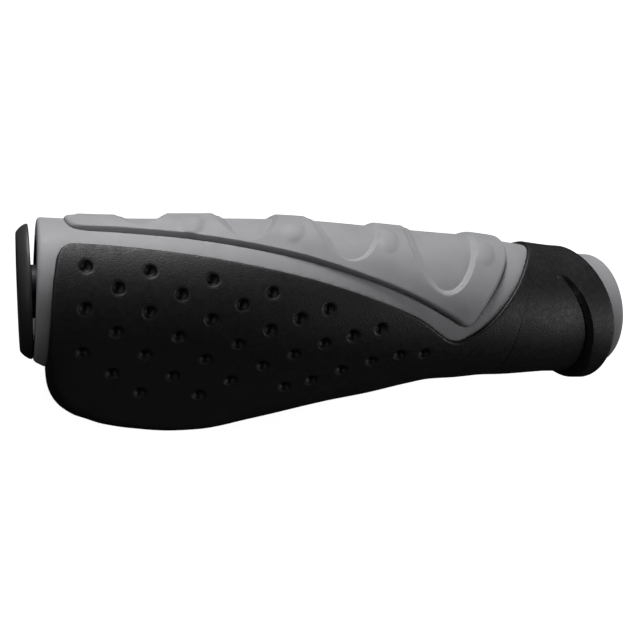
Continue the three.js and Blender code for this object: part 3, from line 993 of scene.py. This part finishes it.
def plug_profile():
    """Depth into the grip and radius, from the flange's inner face at depth 0."""
    face = -FLANGE_THICKNESS
    bevel = []
    for turn in np.linspace(0, math.pi / 2, 10):
        radius = FLANGE_RADIUS - BEVEL_WIDTH * (1 - math.sin(turn)) ** BEVEL_BOW
        bevel.append((face + BEVEL_DEPTH * (1 - math.cos(turn)) ** BEVEL_BOW, radius))
    dish = [
        (face + DISH_DEPTH, 0), (face + DISH_DEPTH, DISH_RADIUS - 1),
        (face + 0.8 * DISH_DEPTH, DISH_RADIUS - 0.7), (face + 0.2 * DISH_DEPTH, DISH_RADIUS - 0.4),
        (face, DISH_RADIUS),
    ]
    rim = arc((-RIM_ROUNDING, FLANGE_RADIUS - RIM_ROUNDING), RIM_ROUNDING, 60, 0, 4)
    root = arc((ROOT_FILLET, STEM_RADIUS + ROOT_FILLET), ROOT_FILLET, 180, 270, 4)
    fins = []  # each with a small fillet on both sides of its root
    for depth in FIN_DEPTHS:
        fins += [(depth - 0.2, STEM_RADIUS), (depth - 0.1, STEM_RADIUS + 0.3)]
        fins += arc((depth - FIN_THICKNESS / 2, FIN_RADIUS - FIN_TIP), FIN_TIP, 150, 20, 5)
        fins += [(depth + FIN_THICKNESS - 0.3, STEM_RADIUS + 0.4), (depth + FIN_THICKNESS, STEM_RADIUS)]
    end = arc((STEM_LENGTH - STEM_ROUNDING, STEM_RADIUS - STEM_ROUNDING), STEM_ROUNDING, 90, 0, 5)
    return dish + bevel + rim + root + fins + end + [(STEM_LENGTH, 0)]


def end_plug():
    """The plug: a round flange with a wide bevel and a finned stem, a little askew in the empty bore."""
    made = lathe("end_plug_moulding", plug_profile())
    stand_off = PLUG_GAP + FLANGE_RADIUS * math.sin(PLUG_TILT)
    to_origin = Matrix.Translation((LENGTH * MM, 0, 0))
    seat = Matrix.Translation((-(LENGTH + stand_off) * MM, 0, 0))
    made.data.transform(seat @ Matrix.Rotation(PLUG_TILT, 4, "Z") @ to_origin)
    return made


# ---------------------------------------------------------------- materials


class Finish:
    """A Principled material and short ways to add its procedural nodes."""

    def __init__(self, name, colour, roughness):
        self.material = bpy.data.materials.new(name)
        self.material.use_nodes = True
        self.tree = self.material.node_tree
        self.shader = self.tree.nodes["Principled BSDF"]
        self.shader.inputs["Base Color"].default_value = (*colour, 1)
        self.shader.inputs["Roughness"].default_value = roughness
        self.colour = colour
        self.place = self.tree.nodes.new("ShaderNodeTexCoord").outputs["Object"]

    def node(self, kind, **settings):
        made = self.tree.nodes.new(kind)
        for key, value in settings.items():
            setattr(made, key, value)
        return made

    def noise(self, size, detail, roughness=0.5):
        """Noise whose features are about size millimetres across."""
        made = self.node("ShaderNodeTexNoise")
        made.inputs["Scale"].default_value = 1 / (size * MM)
        made.inputs["Detail"].default_value = detail
        made.inputs["Roughness"].default_value = roughness
        self.tree.links.new(self.place, made.inputs["Vector"])
        return made.outputs["Fac"]

    def ranged(self, value, low, high):
        """Maps noise, which is mostly between 0.3 and 0.7, to low..high."""
        made = self.node("ShaderNodeMapRange")
        made.inputs["From Min"].default_value = 0.3
        made.inputs["From Max"].default_value = 0.7
        made.inputs["To Min"].default_value = low
        made.inputs["To Max"].default_value = high
        self.tree.links.new(value, made.inputs["Value"])
        return made.outputs["Result"]

    def bump(self, value, height, before=None):
        """Raises the surface by noise, height in millimetres, on top of an earlier bump."""
        made = self.node("ShaderNodeBump")
        made.inputs["Distance"].default_value = height * MM
        made.inputs["Strength"].default_value = 1.0
        self.tree.links.new(value, made.inputs["Height"])
        if before is not None:
            self.tree.links.new(before, made.inputs["Normal"])
        return made.outputs["Normal"]

    def mottle(self, factor, light, dark):
        """Colour that varies between two shades of the base colour."""
        made = self.node("ShaderNodeMix", data_type="RGBA")
        made.inputs["A"].default_value = (*[c * dark for c in self.colour], 1)
        made.inputs["B"].default_value = (*[c * light for c in self.colour], 1)
        self.tree.links.new(factor, made.inputs["Factor"])
        self.tree.links.new(made.outputs["Result"], self.shader.inputs["Base Color"])

    def set(self, socket, value):
        self.tree.links.new(value, self.shader.inputs[socket])


# Sizes of the noise, in millimetres
CLOUD_SIZE = 7.0
SHEEN_SIZE = 1.3
UNEVEN_SIZE = 5.0
UNEVEN_HEIGHT = 0.05


def moulded(name, colour, roughness, grain, grain_height, shades=(1.06, 0.94), spread=0.05):
    """A moulded rubber or plastic: cloudy colour, a fine grain and a broad unevenness of the surface."""
    finish = Finish(name, colour, roughness)
    cloud = finish.ranged(finish.noise(CLOUD_SIZE, 3.0), 0.0, 1.0)
    finish.mottle(cloud, *shades)
    sheen = finish.noise(SHEEN_SIZE, 3.0)
    finish.set("Roughness", finish.ranged(sheen, roughness - spread, roughness + spread))
    broad = finish.bump(finish.noise(UNEVEN_SIZE, 1.0), UNEVEN_HEIGHT)
    fine = finish.bump(finish.noise(grain, 1.5, 0.6), grain_height, broad)
    finish.set("Normal", fine)
    return finish.material


def grey_rubber():
    return moulded(
        "grey_rubber_finish", (0.33, 0.33, 0.345), roughness=0.62, grain=0.22, grain_height=0.010,
    )


def black_rubber():
    return moulded(
        "black_rubber_finish", (0.009, 0.009, 0.0095), roughness=0.55, grain=0.34, grain_height=0.06,
        shades=(1.2, 0.85), spread=0.07,
    )


def plug_plastic():
    return moulded(
        "plug_plastic_finish", (0.03, 0.03, 0.03), roughness=0.5, grain=0.4, grain_height=0.010,
        shades=(1.15, 0.9),
    )


def stiff_plastic():
    return moulded(
        "stiff_plastic_finish", (0.55, 0.54, 0.5), roughness=0.45, grain=0.5, grain_height=0.006,
    )


def soft_gel():
    return moulded("gel_finish", (0.16, 0.2, 0.24), roughness=0.3, grain=0.8, grain_height=0.010)


# ---------------------------------------------------------------- studio


# In metres, as are the lights' sizes below
FLOOR_RADIUS = 0.9
COVE_RADIUS = 0.5
WALL_TOP = 3.0
FLOOR_DROP = 0.0001
STAGE_GLOW = 0.86


def stage_material():
    """A pale surface that keeps its own brightness, with a faint shadow."""
    material = bpy.data.materials.new("pale_stage")
    material.use_nodes = True
    shader = material.node_tree.nodes["Principled BSDF"]
    shader.inputs["Base Color"].default_value = (0.8, 0.8, 0.8, 1)
    shader.inputs["Roughness"].default_value = 1.0
    shader.inputs["Specular IOR Level"].default_value = 0.0
    shader.inputs["Emission Color"].default_value = (1, 1, 1, 1)
    shader.inputs["Emission Strength"].default_value = STAGE_GLOW
    return material


def studio_floor():
    """A wide round floor that curves up into a wall. It does not light the grip or mirror in it."""
    profile = [(0, 0)]
    for turn in np.linspace(0, math.pi / 2, 12):
        profile.append((FLOOR_RADIUS + COVE_RADIUS * math.sin(turn), COVE_RADIUS * (1 - math.cos(turn))))
    profile.append((FLOOR_RADIUS + COVE_RADIUS, WALL_TOP))
    steps = 96
    points = []
    for radius, height in profile:
        points += [(radius * math.cos(turn), radius * math.sin(turn), height) for turn in even_turns(steps)]
    faces = []
    for i in range(len(profile) - 1):
        for j in range(steps):
            k = (j + 1) % steps
            faces.append((i * steps + j, (i + 1) * steps + j, (i + 1) * steps + k, i * steps + k))
    floor = make_object("studio_floor", np.array(points) / MM, faces)
    weld(floor)
    floor.location.z = cad_box[0].z - FLOOR_DROP
    floor.data.materials.append(stage_material())
    floor.visible_diffuse = False
    floor.visible_glossy = False


LIGHT_DISTANCE = 0.6
LIGHT_SIZE = 0.25


def softbox(name, azimuth, elevation, power):
    """A square light aimed at the grip's middle. Azimuth 0 is forward, and 90 is past the outer end."""
    light = bpy.data.lights.new(name, "AREA")
    light.size = LIGHT_SIZE
    light.energy = power
    made = bpy.data.objects.new(name, light)
    bpy.context.scene.collection.objects.link(made)
    turn, rise = math.radians(azimuth), math.radians(elevation)
    level = math.cos(rise)
    back = Vector((-math.sin(turn) * level, math.cos(turn) * level, math.sin(rise)))
    made.location = (cad_box[0] + cad_box[1]) / 2 + back * LIGHT_DISTANCE
    made.rotation_euler = (-back).to_track_quat("-Z", "Y").to_euler()


def studio_lights():
    softbox("front_low", azimuth=10, elevation=6, power=4.1)
    softbox("front_high", azimuth=38, elevation=32, power=0.45)
    softbox("inner_end", azimuth=-98, elevation=30, power=1.05)
    softbox("outer_end", azimuth=90, elevation=38, power=0.25)
    softbox("rear_low", azimuth=180, elevation=4, power=0.025)
    world = bpy.data.worlds.new("studio")
    world.use_nodes = True
    world.node_tree.nodes["Background"].inputs["Color"].default_value = (1, 1, 1, 1)
    world.node_tree.nodes["Background"].inputs["Strength"].default_value = 0.006
    bpy.context.scene.world = world


CAMERA_PLACE = (-135.86, 0, 187.12)  # in millimetres
CAMERA_YAW = math.radians(19.384)
CAMERA_PITCH = math.radians(1.2331)
CAMERA_ROLL = math.radians(1.7805)
CAMERA_LENS = 50.81


def studio_camera():
    """Above the grip, aimed a little past its inner end: yaw and pitch from straight down, then a roll."""
    yaw, pitch, roll = CAMERA_YAW, CAMERA_PITCH, CAMERA_ROLL
    ahead = Vector((math.sin(yaw), 0, -math.cos(yaw)))
    right = Vector((math.cos(yaw), 0, math.sin(yaw)))
    up = Vector((0, 1, 0))
    aim = ahead * math.cos(pitch) - up * math.sin(pitch)
    up = up * math.cos(pitch) + ahead * math.sin(pitch)
    side = right * math.cos(roll) + up * math.sin(roll)
    up = up * math.cos(roll) - right * math.sin(roll)
    turn = Matrix((side, up, -aim)).transposed().to_4x4()
    camera = bpy.data.cameras.new("photo_view")
    camera.lens = CAMERA_LENS
    camera.sensor_width = 36
    camera.clip_start = 0.01
    made = bpy.data.objects.new("photo_view", camera)
    made.matrix_world = Matrix.Translation(Vector(CAMERA_PLACE) * MM) @ turn
    bpy.context.scene.collection.objects.link(made)
    bpy.context.scene.camera = made


# ---------------------------------------------------------------- the scene

studio_camera()
studio_lights()
studio_floor()

FINISHES = {
    "grey_rubber": grey_rubber(),
    "black_rubber": black_rubber(),
    "plug_plastic": plug_plastic(),
    "stiff_plastic": stiff_plastic(),
    "soft_gel": soft_gel(),
}


def place(piece, body, node, slot):
    """Rides a finished piece on its body, in place of its CAD node, with its slot's material."""
    piece.data.materials.clear()
    piece.data.materials.append(FINISHES[slot])
    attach(piece, body)
    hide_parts(node)
    return piece


layer = base_layer()
combine(layer, plate(PART_GAP), operation="DIFFERENCE")
crease(layer)
pad = palm_pad()
combine(pad, plate(PART_GAP), cushion_body(0.0), operation="DIFFERENCE")
crease(pad)

place(core_sleeve(), "grip", "core_sleeve", "stiff_plastic")
place(layer, "grip", "base_layer", "grey_rubber")
place(pad, "grip", "palm_pad", "black_rubber")
cushion = place(palm_cushion(), "grip", "palm_cushion", "soft_gel")
place(inner_collar(), "grip", "inner_collar", "black_rubber")
place(finger_panel(), "grip", "finger_panel", "grey_rubber")
place(end_plug(), "plug", "end_plug", "plug_plastic")

bpy.context.scene.view_settings.view_transform = "Standard"
